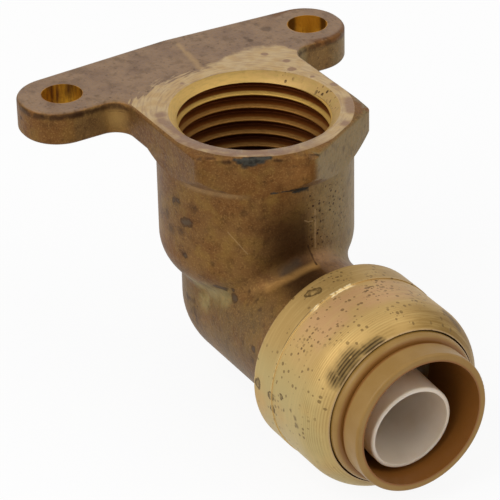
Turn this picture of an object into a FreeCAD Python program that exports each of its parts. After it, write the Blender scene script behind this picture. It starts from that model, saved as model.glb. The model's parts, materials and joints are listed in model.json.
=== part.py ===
"""Wall plate elbow: a forged brass drop-ear elbow with a threaded port and a push-fit tube socket.

Millimetres. The threaded port looks up along +Z and its faced mouth is the plane z = 0, with the
origin at its centre. The tube socket looks along +X, and its axis lies socket_drop below the mouth.
The two screw ears stand at either side, along Y, behind the port.
"""
import FreeCAD
import Part
import Sketcher
import math
import os

FULL_TURN = 360.0
QUARTER_TURN = 90.0
TINY = 1e-6
LOOSE = 1e-3

# Driving sizes, in millimetres unless the name says otherwise.
SIZES = {
    # Threaded port and the forged column under it
    "barrel_radius": 12.12,
    "barrel_straight": 16.05,
    "shoulder_radius": 5.5,
    "neck_radius": 9.5,
    "socket_drop": 25.0,
    "thread_crest_radius": 9.28,
    "mouth_chamfer": 1.22,
    "thread_depth": 15.0,
    "waterway_radius": 5.2,
    "forging_blend": 2.0,
    "edge_round": 0.5,
    "drill_point_deg": 118.0,
    # Hexagonal spanner boss round the mouth
    "boss_flat": 12.25,
    "boss_face_radius": 11.97,
    "boss_corner_fall": 0.6,
    "boss_skirt": 3.0,
    "boss_depth": 5.4,
    "boss_corner_round": 1.2,
    "boss_overcut": 1.0,
    # Screw plate
    "plate_thickness": 4.4,
    "plate_back": 22.6,
    "plate_back_end": 21.3,
    "plate_root": 1.0,
    "plate_offset": 0.45,
    "ear_spacing": 35.48,
    "ear_setback": 16.35,
    "ear_radius": 5.1,
    "ear_corner": 4.9,
    "ear_hole_radius": 2.55,
    "plate_inner_fillet": 2.5,
    # Tube socket
    "tube_radius": 7.94,
    "tube_wall": 1.78,
    "tube_clearance": 0.16,
    "tube_stop": 12.55,
    "tube_pocket": 8.7,
    "seal_wire_radius": 1.05,
    "seal_squeeze": 0.16,
    "cup_length": 5.6,
    "cup_wall": 1.22,
    "ring_clearance": 0.05,
    # Retaining cap
    "cap_rolled_lip": 0.9,
    "cap_band": 4.1,
    "cap_band_step": 0.11,
    "cap_wall": 0.87,
    "cap_shoulder_width": 0.45,
    "cap_throat_length": 4.0,
    "cap_lip": 2.6,
    "cap_nose": 3.9,
    "cap_edge_round": 0.35,
    # Release collar
    "collar_tube_clearance": 0.14,
    "collar_wall": 0.99,
    "collar_lip_round": 0.3,
    "collar_lip_length": 2.78,
    "collar_bead_height": 0.78,
    "collar_bead_proud": 0.95,
    "collar_bead_round": 0.8,
    "collar_groove_depth": 0.27,
    "collar_groove_width": 0.5,
    "collar_side_clearance": 0.21,
    "collar_flange_clearance": 0.15,
    "collar_flange_width": 1.4,
    "collar_flange_gap": 0.3,
    "collar_nose_length": 1.9,
    "collar_nose_wall": 0.62,
    "collar_nose_taper": 0.6,
    # Grab ring
    "grab_thickness": 0.4,
    "grab_rim_clearance": 0.15,
    "grab_rim": 1.35,
    "grab_bite": 0.34,
    "grab_depth": 1.9,
    "grab_teeth": 12,
    "grab_slot": 1.1,
    # Seal protector ring
    "protector_clearance": 0.26,
    "protector_width": 2.15,
    "protector_edge": 0.35,
    # Tube liner
    "liner_clearance": 0.62,
    "liner_wall": 0.5,
    "liner_length": 21.6,
    "liner_flange_clearance": 0.4,
    "liner_flange": 1.2,
    "liner_droop_deg": 4.4,
    "liner_rim_round": 0.25,
}

# Places and fits worked out from the driving sizes.
FITS = {
    "shoulder_reach": "neck_radius - barrel_radius + shoulder_radius",
    "shoulder_foot": "barrel_straight + sqrt(shoulder_radius^2 - shoulder_reach^2)",
    "column_foot": "socket_drop + neck_radius",
    "mouth_radius": "thread_crest_radius + mouth_chamfer",
    "drill_slope": "1 / tan(drill_point_deg / 2 * 1 deg)",
    "thread_foot": "thread_depth + (thread_crest_radius - waterway_radius) * drill_slope",
    "drill_point": "waterway_radius * drill_slope",
    "drill_tip": "socket_drop + drill_point",
    "boss_corner": "boss_flat / cos(30 deg)",
    "boss_top_reach": "boss_corner + boss_overcut",
    "boss_top_slope": "boss_corner_fall / (boss_corner - boss_face_radius)",
    "boss_top_fall": "(boss_top_reach - boss_face_radius) * boss_top_slope",
    "ear_offset": "ear_spacing / 2",
    "ear_end": "ear_offset + ear_radius - plate_offset",
    "ear_long_end": "ear_offset + ear_radius + plate_offset",
    "ear_front": "ear_setback - ear_radius",
    "tube_bore": "tube_radius + tube_clearance",
    "seal_inner": "tube_radius - seal_squeeze",
    "seal_radius": "seal_inner + seal_wire_radius",
    "seal_bore": "seal_radius + seal_wire_radius + ring_clearance",
    "seal_seat": "tube_stop + tube_pocket",
    "seal_place": "seal_seat + ring_clearance + seal_wire_radius",
    "protector_back": "seal_place + seal_wire_radius + ring_clearance",
    "protector_front": "protector_back + protector_width",
    "protector_bore": "tube_radius + protector_clearance",
    "protector_radius": "seal_bore - ring_clearance",
    "protector_inner_front": "protector_back + protector_edge",
    "cup_front": "protector_front + ring_clearance",
    "cup_back": "cup_front - cup_length",
    "cup_radius": "seal_bore + cup_wall",
    "grab_back": "cup_front + ring_clearance",
    "grab_front": "grab_back + grab_thickness",
    "grab_tip_back": "grab_back - grab_depth",
    "grab_tip_front": "grab_tip_back + grab_thickness",
    "grab_slot_half": "grab_slot / 2",
    "cap_bore": "cup_radius + ring_clearance",
    "grab_radius": "cap_bore - grab_rim_clearance",
    "grab_root": "grab_radius - grab_rim",
    "grab_tip": "tube_radius - grab_bite",
    "grab_slot_inner": "grab_tip - grab_slot",
    "collar_bore": "tube_radius + collar_tube_clearance",
    "collar_tube": "collar_bore + collar_wall",
    "collar_bead": "collar_tube + collar_bead_height",
    "collar_groove": "collar_tube - collar_groove_depth",
    "cap_lip_front": "cup_back - ring_clearance",
    "cap_back": "cap_lip_front - cap_rolled_lip",
    "cap_step": "cap_back + cap_band",
    "cap_shoulder": "grab_front + ring_clearance",
    "cap_lip_back": "cap_shoulder + cap_throat_length",
    "cap_front": "cap_lip_back + cap_lip",
    "cap_nose_start": "cap_front - cap_nose",
    "cap_lip_radius": "neck_radius + ring_clearance",
    "cap_radius": "cap_bore + cap_wall",
    "cap_back_radius": "cap_radius + cap_band_step",
    "cap_throat": "cap_bore - cap_shoulder_width",
    "cap_opening": "collar_bead + collar_side_clearance",
    "cap_edge_start": "cap_back + cap_edge_round",
    "cap_edge_radius": "cap_back_radius - cap_edge_round",
    "cap_nose_fall": "cap_radius - cap_opening",
    "cap_nose_radius": "(cap_nose^2 + cap_nose_fall^2) / (2 * cap_nose_fall)",
    "collar_flange": "cap_throat - collar_flange_clearance",
    "collar_flange_front": "cap_lip_back - collar_flange_gap",
    "collar_flange_back": "collar_flange_front - collar_flange_width",
    "collar_nose_end": "collar_flange_back - collar_nose_length",
    "collar_nose_tip": "collar_bore + collar_nose_wall",
    "collar_nose_root": "collar_nose_tip + collar_nose_taper",
    "collar_bead_front": "cap_front + collar_bead_proud",
    "collar_bead_shoulder": "collar_bead_front - collar_bead_round",
    "collar_bead_top": "collar_bead - collar_bead_round",
    "collar_groove_end": "collar_bead_front + collar_groove_width",
    "collar_mouth": "collar_groove_end + collar_lip_length",
    "collar_lip_start": "collar_mouth - collar_lip_round",
    "collar_lip_outer": "collar_tube - collar_lip_round",
    "liner_radius": "tube_radius - tube_wall - liner_clearance",
    "liner_bore": "liner_radius - liner_wall",
    "liner_flange_radius": "tube_bore - liner_flange_clearance",
    "liner_rim_start": "liner_length - liner_rim_round",
    "liner_rim_radius": "liner_radius - liner_rim_round",
}

doc = FreeCAD.newDocument("WallPlateElbow")
sheet = doc.addObject("Spreadsheet::Sheet", "Sizes")


def fill_sheet():
    row = 1
    for alias, value in SIZES.items():
        sheet.set("A%d" % row, alias)
        sheet.set("B%d" % row, str(value))
        sheet.setAlias("B%d" % row, alias)
        row += 1
    for alias, formula in FITS.items():
        sheet.set("A%d" % row, alias)
        sheet.set("B%d" % row, "=" + formula)
        sheet.setAlias("B%d" % row, alias)
        row += 1
    doc.recompute()


def size(term):
    """The number behind a term: a cell's name, a minus sign and a name, or 0."""
    if term == "0":
        return 0.0
    if term.startswith("-"):
        return -float(getattr(sheet, term[1:]))
    return float(getattr(sheet, term))


def cell(term):
    """The same term as an expression that follows the sheet."""
    if term.startswith("-"):
        return "-Sizes." + term[1:]
    return "Sizes." + term


def new_body(name):
    body = doc.addObject("PartDesign::Body", name)
    body.Label = name
    return body


def new_sketch(body, name, role, axis_height="0"):
    """A sketch on one of the body's own planes, raised to the height of the axis it is drawn about."""
    plane = next(f for f in body.Origin.OriginFeatures if f.Role == role)
    sketch = body.newObject("Sketcher::SketchObject", name)
    sketch.AttachmentSupport = (plane, [""])
    sketch.MapMode = "FlatFace"
    if axis_height != "0":
        sketch.AttachmentOffset.Base.y = size(axis_height)
        sketch.setExpression("AttachmentOffset.Base.y", cell(axis_height))
    return sketch


def fix_coordinate(sketch, kind, axis, geo, pos, term):
    """Tie one coordinate of a sketch point to its cell, or to the axis where it is 0."""
    if term == "0":
        sketch.addConstraint(Sketcher.Constraint("PointOnObject", geo, pos, axis))
        return
    index = sketch.addConstraint(Sketcher.Constraint(kind, -1, 1, geo, pos, size(term)))
    sketch.setExpression("Constraints[%d]" % index, cell(term))


def arc_middle(start, end, radius, turn):
    """The middle point of the short arc from start to end, with turn 1 to the left and -1 to the right."""
    chord = end - start
    half = chord.Length / 2
    across = FreeCAD.Vector(-chord.y, chord.x, 0).normalize()
    sagitta = radius - math.sqrt(max(radius * radius - half * half, 0.0))
    return (start + end) / 2 - across * sagitta * turn


def draw_outline(sketch, corners):
    """Draw a closed chain of lines and arcs, each corner tied to the sheet.

    A corner is (x, y). With two more values, (x, y, radius, turn), the edge that leaves it is an arc.
    """
    points = [FreeCAD.Vector(size(c[0]), size(c[1]), 0) for c in corners]
    ends = []
    for i, corner in enumerate(corners):
        start = points[i]
        end = points[(i + 1) % len(points)]
        if len(corner) == 2:
            geo = sketch.addGeometry(Part.LineSegment(start, end))
            ends.append((geo, 1, 2))
            continue
        turn = corner[3]
        middle = arc_middle(start, end, size(corner[2]), turn)
        geo = sketch.addGeometry(Part.Arc(start, middle, end))
        ends.append((geo, 1, 2) if turn > 0 else (geo, 2, 1))
    for i, corner in enumerate(corners):
        geo, first, last = ends[i]
        next_geo, next_first, next_last = ends[(i + 1) % len(ends)]
        sketch.addConstraint(Sketcher.Constraint("Coincident", geo, last, next_geo, next_first))
        fix_coordinate(sketch, "DistanceX", -2, geo, first, corner[0])
        fix_coordinate(sketch, "DistanceY", -1, geo, first, corner[1])
        if len(corner) > 2:
            index = sketch.addConstraint(Sketcher.Constraint("Radius", geo, size(corner[2])))
            sketch.setExpression("Constraints[%d]" % index, cell(corner[2]))
    doc.recompute()


def turned(body, name, corners, about_port=False, cut=False):
    """A profile turned about the port axis (x is radius) or the socket axis (y is radius)."""
    height = "0" if about_port else "-socket_drop"
    sketch = new_sketch(body, name + "Profile", "XZ_Plane", height)
    draw_outline(sketch, corners)
    kind = "PartDesign::Groove" if cut else "PartDesign::Revolution"
    feature = body.newObject(kind, name)
    feature.Profile = sketch
    feature.ReferenceAxis = (sketch, ["V_Axis" if about_port else "H_Axis"])
    feature.Angle = FULL_TURN
    doc.recompute()
    return feature


def padded(body, name, corners, depth):
    """An outline on the mouth plane, extruded downwards."""
    sketch = new_sketch(body, name + "Outline", "XY_Plane")
    draw_outline(sketch, corners)
    pad = body.newObject("PartDesign::Pad", name)
    pad.Profile = sketch
    pad.Reversed = True
    pad.setExpression("Length", cell(depth))
    doc.recompute()
    return pad


def edge_names(shape, wanted):
    """Names of the edges whose middle point and ends satisfy a test."""
    names = []
    for i, edge in enumerate(shape.Edges):
        middle = edge.valueAt((edge.FirstParameter + edge.LastParameter) / 2)
        if wanted(edge, middle):
            names.append("Edge%d" % (i + 1))
    return names


def rounded(body, name, base, wanted, radius):
    fillet = body.newObject("PartDesign::Fillet", name)
    fillet.Base = (base, edge_names(base.Shape, wanted))
    fillet.setExpression("Radius", cell(radius))
    doc.recompute()
    return fillet


def upright(edge):
    direction = edge.tangentAt(edge.FirstParameter)
    return abs(direction.x) < TINY and abs(direction.y) < TINY


def screw_plate():
    """The flat plate: a long bar with a peaked back and two rounded ears, open to the boss in front."""
    body = new_body("ScrewPlate")
    plate = padded(body, "PlateBar", [
        ("-plate_back", "0"),
        ("-plate_back_end", "-ear_long_end"),
        ("-ear_front", "-ear_long_end"),
        ("-ear_front", "-boss_flat"),
        ("-plate_root", "-boss_flat"),
        ("-plate_root", "boss_flat"),
        ("-ear_front", "boss_flat"),
        ("-ear_front", "ear_end"),
        ("-plate_back_end", "ear_end"),
    ], "plate_thickness")
    ears = rounded(body, "EarCorners", plate,
                   lambda edge, p: upright(edge) and abs(p.y) > size("ear_end") - TINY, "ear_corner")
    inner = rounded(body, "InnerCorners", ears,
                    lambda edge, p: upright(edge) and abs(p.x + size("ear_front")) < TINY
                    and abs(abs(p.y) - size("boss_flat")) < TINY, "plate_inner_fillet")
    rounded(body, "PlateEdges", inner,
            lambda edge, p: not upright(edge) and p.x < -size("plate_root") - TINY, "edge_round")
    holes = new_sketch(body, "EarHoles", "XY_Plane")
    for side in ("ear_offset", "-ear_offset"):
        centre = FreeCAD.Vector(-size("ear_setback"), size(side), 0)
        normal = FreeCAD.Vector(0, 0, 1)
        geo = holes.addGeometry(Part.Circle(centre, normal, size("ear_hole_radius")))
        fix_coordinate(holes, "DistanceX", -2, geo, 3, "-ear_setback")
        fix_coordinate(holes, "DistanceY", -1, geo, 3, side)
        index = holes.addConstraint(Sketcher.Constraint("Radius", geo, size("ear_hole_radius")))
        holes.setExpression("Constraints[%d]" % index, cell("ear_hole_radius"))
    drilled = body.newObject("PartDesign::Pocket", "EarDrill")
    drilled.Profile = holes
    drilled.Type = "ThroughAll"
    doc.recompute()
    return body


def spanner_boss():
    """The hexagon round the mouth, with a corner on +X and its corners eased above and below."""
    body = new_body("SpannerBoss")
    sketch = new_sketch(body, "HexOutline", "XY_Plane")
    sides = 6
    reach = size("boss_corner")
    corners = [FreeCAD.Vector(reach * math.cos(math.pi * i / 3), reach * math.sin(math.pi * i / 3), 0)
               for i in range(sides)]
    for i in range(sides):
        sketch.addGeometry(Part.LineSegment(corners[i], corners[(i + 1) % sides]))
    for i in range(sides):
        sketch.addConstraint(Sketcher.Constraint("Coincident", i, 2, (i + 1) % sides, 1))
        if i:
            sketch.addConstraint(Sketcher.Constraint("Equal", 0, i))
    rim = sketch.addGeometry(Part.Circle(FreeCAD.Vector(), FreeCAD.Vector(0, 0, 1), reach), True)
    sketch.addConstraint(Sketcher.Constraint("Coincident", rim, 3, -1, 1))
    for i in range(sides):
        sketch.addConstraint(Sketcher.Constraint("PointOnObject", i, 1, rim))
    sketch.addConstraint(Sketcher.Constraint("PointOnObject", 0, 1, -1))
    index = sketch.addConstraint(Sketcher.Constraint("Radius", rim, reach))
    sketch.setExpression("Constraints[%d]" % index, cell("boss_corner"))
    pad = body.newObject("PartDesign::Pad", "HexPad")
    pad.Profile = sketch
    pad.Reversed = True
    pad.setExpression("Length", cell("boss_depth"))
    doc.recompute()
    hexagon = rounded(body, "HexCorners", pad, lambda edge, p: upright(edge), "boss_corner_round")
    rounded(body, "HexRim", hexagon, lambda edge, p: abs(p.z) < TINY, "edge_round")
    turned(body, "FaceEase", [
        ("boss_face_radius", "0"),
        ("boss_top_reach", "0"),
        ("boss_top_reach", "-boss_top_fall"),
    ], about_port=True, cut=True)
    turned(body, "SkirtEase", [
        ("boss_corner", "-boss_skirt"),
        ("boss_top_reach", "-boss_skirt"),
        ("boss_top_reach", "-boss_depth"),
        ("barrel_radius", "-boss_depth"),
    ], about_port=True, cut=True)
    return body


def forged_column():
    """The barrel, its rounded shoulder, the upright neck and the domed outside of the bend."""
    body = new_body("ForgedColumn")
    turned(body, "Column", [
        ("0", "0"),
        ("boss_face_radius", "0"),
        ("barrel_radius", "-boss_depth"),
        ("barrel_radius", "-barrel_straight", "shoulder_radius", -1),
        ("neck_radius", "-shoulder_foot"),
        ("neck_radius", "-socket_drop", "neck_radius", -1),
        ("0", "-column_foot"),
    ], about_port=True)
    return body


def socket_arm():
    """The level neck and the cup that the cap is rolled over."""
    body = new_body("SocketArm")
    turned(body, "Arm", [
        ("0", "0"),
        ("0", "neck_radius"),
        ("cup_back", "neck_radius"),
        ("cup_back", "cup_radius"),
        ("cup_front", "cup_radius"),
        ("cup_front", "0"),
    ])
    return body


def port_bore():
    """The tapped port, its lead-in chamfer and the drilled waterway below it."""
    body = new_body("PortBore")
    turned(body, "PortCut", [
        ("0", "0"),
        ("mouth_radius", "0"),
        ("thread_crest_radius", "-mouth_chamfer"),
        ("thread_crest_radius", "-thread_depth"),
        ("waterway_radius", "-thread_foot"),
        ("waterway_radius", "-socket_drop"),
        ("0", "-drill_tip"),
    ], about_port=True)
    return body


def socket_bore():
    """The level waterway, the tube's stop, its bore and the seat of the seal."""
    body = new_body("SocketBore")
    turned(body, "SocketCut", [
        ("-drill_point", "0"),
        ("0", "waterway_radius"),
        ("tube_stop", "waterway_radius"),
        ("tube_stop", "tube_bore"),
        ("seal_seat", "tube_bore"),
        ("seal_seat", "seal_bore"),
        ("cup_front", "seal_bore"),
        ("cup_front", "0"),
    ])
    return body


def blend_edges(shape):
    """The saddle where the arm leaves the column, and the foot of the shoulder, with their radius."""
    radius = size("forging_blend")
    drop = size("socket_drop")
    foot = -size("shoulder_foot")
    picked = []
    for i, edge in enumerate(shape.Edges):
        if edge.Degenerated or edge.Curve.TypeId == "Part::GeomLine":
            continue
        middle = edge.valueAt((edge.FirstParameter + edge.LastParameter) / 2)
        on_arm = abs(math.hypot(middle.y, middle.z + drop) - size("neck_radius")) < LOOSE
        on_saddle = on_arm and middle.z > foot + LOOSE and middle.x < size("cap_back")
        on_foot = edge.Curve.TypeId == "Part::GeomCircle" and abs(middle.z - foot) < LOOSE
        if on_saddle or on_foot:
            picked.append((i + 1, radius, radius))
    return picked


def elbow_body():
    """The forging: plate, boss, column and arm in one piece, less what is drilled out of it."""
    forged = doc.addObject("Part::MultiFuse", "Forging")
    forged.Shapes = [forged_column(), socket_arm(), spanner_boss(), screw_plate()]
    forged.Refine = True
    drilled = doc.addObject("Part::MultiFuse", "Drillings")
    drilled.Shapes = [port_bore(), socket_bore()]
    doc.recompute()
    blended = doc.addObject("Part::Fillet", "ForgingBlends")
    blended.Base = forged
    blended.Edges = blend_edges(forged.Shape)
    doc.recompute()
    body = doc.addObject("Part::Cut", "body")
    body.Base = blended
    body.Tool = drilled
    body.Label = "body"
    doc.recompute()
    return body


def retaining_cap():
    """The turned brass cap: a rolled lip behind the cup, a plain band, a rounded nose and its opening."""
    body = new_body("retaining_cap")
    turned(body, "Cap", [
        ("cap_back", "cap_lip_radius"),
        ("cap_back", "cap_edge_radius", "cap_edge_round", -1),
        ("cap_edge_start", "cap_back_radius"),
        ("cap_step", "cap_back_radius"),
        ("cap_step", "cap_radius"),
        ("cap_nose_start", "cap_radius", "cap_nose_radius", -1),
        ("cap_front", "cap_opening"),
        ("cap_lip_back", "cap_opening"),
        ("cap_lip_back", "cap_throat"),
        ("cap_shoulder", "cap_throat"),
        ("cap_shoulder", "cap_bore"),
        ("cap_lip_front", "cap_bore"),
        ("cap_lip_front", "cap_lip_radius"),
    ])
    return body


def release_collar():
    """The sliding collar: a thin mouth, a rounded bead, the flange that keeps it in and a tapered nose."""
    body = new_body("release_collar")
    turned(body, "Collar", [
        ("collar_nose_end", "collar_bore"),
        ("collar_nose_end", "collar_nose_tip"),
        ("collar_flange_back", "collar_nose_root"),
        ("collar_flange_back", "collar_flange"),
        ("collar_flange_front", "collar_flange"),
        ("collar_flange_front", "collar_bead"),
        ("collar_bead_shoulder", "collar_bead", "collar_bead_round", -1),
        ("collar_bead_front", "collar_bead_top"),
        ("collar_bead_front", "collar_groove"),
        ("collar_groove_end", "collar_groove"),
        ("collar_groove_end", "collar_tube"),
        ("collar_lip_start", "collar_tube", "collar_lip_round", -1),
        ("collar_mouth", "collar_lip_outer"),
        ("collar_mouth", "collar_bore"),
    ])
    return body


def grab_ring():
    """The toothed spring ring: a flat rim and a slotted cone whose teeth lean towards the tube's stop."""
    body = new_body("grab_ring")
    cone = turned(body, "RingBlank", [
        ("grab_back", "grab_radius"),
        ("grab_back", "grab_root"),
        ("grab_tip_back", "grab_tip"),
        ("grab_tip_front", "grab_tip"),
        ("grab_front", "grab_root"),
        ("grab_front", "grab_radius"),
    ])
    slot = new_sketch(body, "SlotOutline", "YZ_Plane", "-socket_drop")
    draw_outline(slot, [
        ("-grab_slot_half", "grab_slot_inner"),
        ("grab_slot_half", "grab_slot_inner"),
        ("grab_slot_half", "grab_root"),
        ("-grab_slot_half", "grab_root"),
    ])
    cut = body.newObject("PartDesign::Pocket", "Slot")
    cut.Profile = slot
    cut.Type = "ThroughAll"
    cut.Midplane = True
    doc.recompute()
    ring = body.newObject("PartDesign::PolarPattern", "Slots")
    ring.Originals = [cut]
    ring.Axis = (slot, ["N_Axis"])
    ring.Angle = FULL_TURN
    ring.setExpression("Occurrences", cell("grab_teeth"))
    body.Tip = ring
    doc.recompute()
    if ring.Shape.Volume >= cone.Shape.Volume:
        raise RuntimeError("the slots of the grab ring cut nothing")
    return body


def seal_protector():
    """The plastic ring between the seal and the grab ring, with a sloped face under the teeth."""
    body = new_body("seal_protector")
    turned(body, "Protector", [
        ("protector_back", "protector_bore"),
        ("protector_back", "protector_radius"),
        ("protector_front", "protector_radius"),
        ("protector_inner_front", "protector_bore"),
    ])
    return body


def o_ring():
    """The rubber seal that grips the tube."""
    seal = doc.addObject("Part::Torus", "o_ring")
    seal.Label = "o_ring"
    seal.setExpression("Radius1", cell("seal_radius"))
    seal.setExpression("Radius2", cell("seal_wire_radius"))
    place = FreeCAD.Vector(size("seal_place"), 0, -size("socket_drop"))
    seal.Placement = FreeCAD.Placement(place, FreeCAD.Rotation(FreeCAD.Vector(0, 1, 0), QUARTER_TURN))
    doc.recompute()
    return seal


def tube_liner():
    """The plastic stiffener: a thin tube on a flange that lies loose at the stop and droops."""
    body = new_body("tube_liner")
    sketch = new_sketch(body, "LinerProfile", "XZ_Plane")
    draw_outline(sketch, [
        ("0", "liner_bore"),
        ("0", "liner_flange_radius"),
        ("liner_flange", "liner_flange_radius"),
        ("liner_flange", "liner_radius"),
        ("liner_rim_start", "liner_radius", "liner_rim_round", -1),
        ("liner_length", "liner_rim_radius"),
        ("liner_length", "liner_bore"),
    ])
    tube = body.newObject("PartDesign::Revolution", "Liner")
    tube.Profile = sketch
    tube.ReferenceAxis = (sketch, ["H_Axis"])
    tube.Angle = FULL_TURN
    # The lowest edge of the flange stands in the corner between the tube's stop and its bore
    lean = math.radians(size("liner_droop_deg"))
    flange = size("liner_flange_radius")
    forward = size("tube_stop") + size("ring_clearance") + flange * math.sin(lean)
    sag = size("tube_bore") - size("ring_clearance")
    sag -= size("liner_flange") * math.sin(lean) + flange * math.cos(lean)
    place = FreeCAD.Vector(forward, 0, -size("socket_drop") - sag)
    turn = FreeCAD.Rotation(FreeCAD.Vector(0, 1, 0), size("liner_droop_deg"))
    body.Placement = FreeCAD.Placement(place, turn)
    doc.recompute()
    return body


def check_and_write(parts):
    for thing in doc.Objects:
        if "Invalid" in thing.State or "Error" in thing.State:
            raise RuntimeError("%s did not recompute" % thing.Name)
    os.makedirs("parts", exist_ok=True)
    for part in parts:
        shape = part.Shape
        if shape.isNull() or not shape.isValid():
            raise RuntimeError("%s has no valid shape" % part.Label)
        shape.exportStep("parts/%s.step" % part.Label)
        print("%-16s %d solid(s) %9.1f mm3" % (part.Label, len(shape.Solids), shape.Volume))


fill_sheet()
check_and_write([
    elbow_body(),
    retaining_cap(),
    release_collar(),
    grab_ring(),
    seal_protector(),
    o_ring(),
    tube_liner(),
])
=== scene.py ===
import bpy
import bmesh
import json
import math
import numpy as np
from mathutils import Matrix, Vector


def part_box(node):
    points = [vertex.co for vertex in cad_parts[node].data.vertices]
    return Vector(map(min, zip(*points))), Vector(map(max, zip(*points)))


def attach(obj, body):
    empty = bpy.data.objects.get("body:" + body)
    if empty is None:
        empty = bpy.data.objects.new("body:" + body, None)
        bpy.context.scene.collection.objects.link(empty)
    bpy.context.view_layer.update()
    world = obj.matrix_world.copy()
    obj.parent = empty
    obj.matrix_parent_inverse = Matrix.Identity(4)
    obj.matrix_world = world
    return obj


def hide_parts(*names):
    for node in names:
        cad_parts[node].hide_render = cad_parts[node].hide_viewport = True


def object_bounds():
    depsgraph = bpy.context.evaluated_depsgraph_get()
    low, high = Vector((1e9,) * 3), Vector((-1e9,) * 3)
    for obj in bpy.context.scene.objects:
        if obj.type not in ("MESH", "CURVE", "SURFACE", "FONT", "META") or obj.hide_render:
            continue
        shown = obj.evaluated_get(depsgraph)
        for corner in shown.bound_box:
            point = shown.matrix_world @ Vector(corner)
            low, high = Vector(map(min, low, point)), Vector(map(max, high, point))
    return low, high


# Wall plate elbow: tarnished forging, turned cap, plastic collar and liner; the port's thread is cut here.
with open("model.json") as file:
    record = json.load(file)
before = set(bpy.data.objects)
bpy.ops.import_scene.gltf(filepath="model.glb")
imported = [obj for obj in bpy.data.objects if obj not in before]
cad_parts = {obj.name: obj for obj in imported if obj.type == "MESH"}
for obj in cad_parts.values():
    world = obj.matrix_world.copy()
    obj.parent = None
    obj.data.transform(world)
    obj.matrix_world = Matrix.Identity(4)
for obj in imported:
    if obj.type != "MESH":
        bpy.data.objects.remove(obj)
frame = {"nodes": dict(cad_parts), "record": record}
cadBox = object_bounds()
nodes = frame["nodes"]
scene = bpy.context.scene
scene.view_settings.view_transform = "Standard"
capLow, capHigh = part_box("retaining_cap")
socketZ = 500 * (capLow[2] + capHigh[2])  # mm, height of the socket's axis
ears = next(m for m in frame["record"]["mounts"] if m["name"] == "ear_screws")
earX = 1000 * ears["pos_m"][0]  # mm, the screw holes
earY = ears["dims"]["spacing_y_mm"] / 2
barrelRadius = 12.12  # mm
capRadius = 12.1
print("frame loaded:", ", ".join(sorted(nodes)))


# View

view = {
    "place": (0.27317, -0.16068, 0.16593),  # metres, as solved from the photo's ellipses
    "turnDeg": (59.618, 1.097, 59.054),
    "lens": 212.1,
    "sensor": 36.0,
    "clipStart": 0.01,
}
lens = bpy.data.cameras.new("lens")
lens.lens = view["lens"]
lens.sensor_width = view["sensor"]
lens.clip_start = view["clipStart"]
camera = bpy.data.objects.new("camera", lens)
camera.location = view["place"]
camera.rotation_euler = [math.radians(a) for a in view["turnDeg"]]
scene.collection.objects.link(camera)
scene.camera = camera
print("camera placed")


# Small tools

def linear(code):
    # sRGB hex to linear light, with full alpha
    parts = [int(code[i:i + 2], 16) / 255 for i in (1, 3, 5)]
    return tuple(c / 12.92 if c <= 0.04045 else ((c + 0.055) / 1.055) ** 2.4 for c in parts) + (1.0,)


def addNode(tree, kind, inputs=None, **settings):
    made = tree.nodes.new(kind)
    for name, value in settings.items():
        setattr(made, name, value)
    for socket, value in (inputs or {}).items():
        if isinstance(value, bpy.types.NodeSocket):
            tree.links.new(value, made.inputs[socket])
        else:
            made.inputs[socket].default_value = value
    return made


def newFinish(name):
    # an empty material and its object coordinates in millimetres
    finish = bpy.data.materials.new(name)
    finish.use_nodes = True
    tree = finish.node_tree
    tree.nodes.clear()
    place = addNode(tree, "ShaderNodeTexCoord").outputs["Object"]
    where = addNode(tree, "ShaderNodeVectorMath", {0: place, "Scale": 1000.0}, operation="SCALE").outputs[0]
    return finish, tree, where


def fromAxis(tree, where, point, across):
    # distance in mm from a line through point; across is 1 in the two directions square to the line
    off = addNode(tree, "ShaderNodeVectorMath", {0: where, 1: point}, operation="SUBTRACT").outputs[0]
    flat = addNode(tree, "ShaderNodeVectorMath", {0: off, 1: across}, operation="MULTIPLY").outputs[0]
    return addNode(tree, "ShaderNodeVectorMath", {0: flat}, operation="LENGTH").outputs["Value"]


def facing(tree, direction):
    # 1 on faces turned to the direction, -1 on those turned away
    normal = addNode(tree, "ShaderNodeTexCoord").outputs["Normal"]
    turned = addNode(tree, "ShaderNodeVectorMath", {0: normal, 1: direction}, operation="DOT_PRODUCT")
    return turned.outputs["Value"]


def zone(tree, *limits, most=1.0):
    # the product of its limits, times most: a limit is a mask, or a value with the start and end of its fade
    mask = most
    for limit in limits:
        if isinstance(limit, tuple):
            value, start, end = limit
            limit = addNode(tree, "ShaderNodeMapRange", {"Value": value, "From Min": start, "From Max": end},
                            interpolation_type="SMOOTHSTEP").outputs[0]
        mask = addNode(tree, "ShaderNodeMath", {0: limit, 1: mask}, operation="MULTIPLY").outputs[0]
    return mask


def mottle(tree, where, sizeMm, low, high, most=1.0, detail=4.0, shift=0.0):
    # cloudy noise with lumps of about sizeMm; low to high becomes 0 to most
    moved = addNode(tree, "ShaderNodeVectorMath", {0: where, 1: (shift, 0.7 * shift, -shift)}).outputs[0]
    cloud = addNode(tree, "ShaderNodeTexNoise", {"Vector": moved, "Scale": 1 / sizeMm, "Detail": detail})
    return zone(tree, (cloud.outputs[0], low, high), most=most)


def ragged(tree, where, sizeMm, reachMm):
    # coordinates pushed about by noise, so that a mark gets an uneven edge
    push = addNode(tree, "ShaderNodeTexNoise", {"Vector": where, "Scale": 1 / sizeMm, "Detail": 3.0})
    centred = addNode(tree, "ShaderNodeVectorMath", {0: push.outputs["Color"], 1: (0.5, 0.5, 0.5)},
                      operation="SUBTRACT").outputs[0]
    return addNode(tree, "ShaderNodeVectorMath", {0: centred, 1: (2 * reachMm,) * 3, 2: where},
                   operation="MULTIPLY_ADD").outputs[0]


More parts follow.
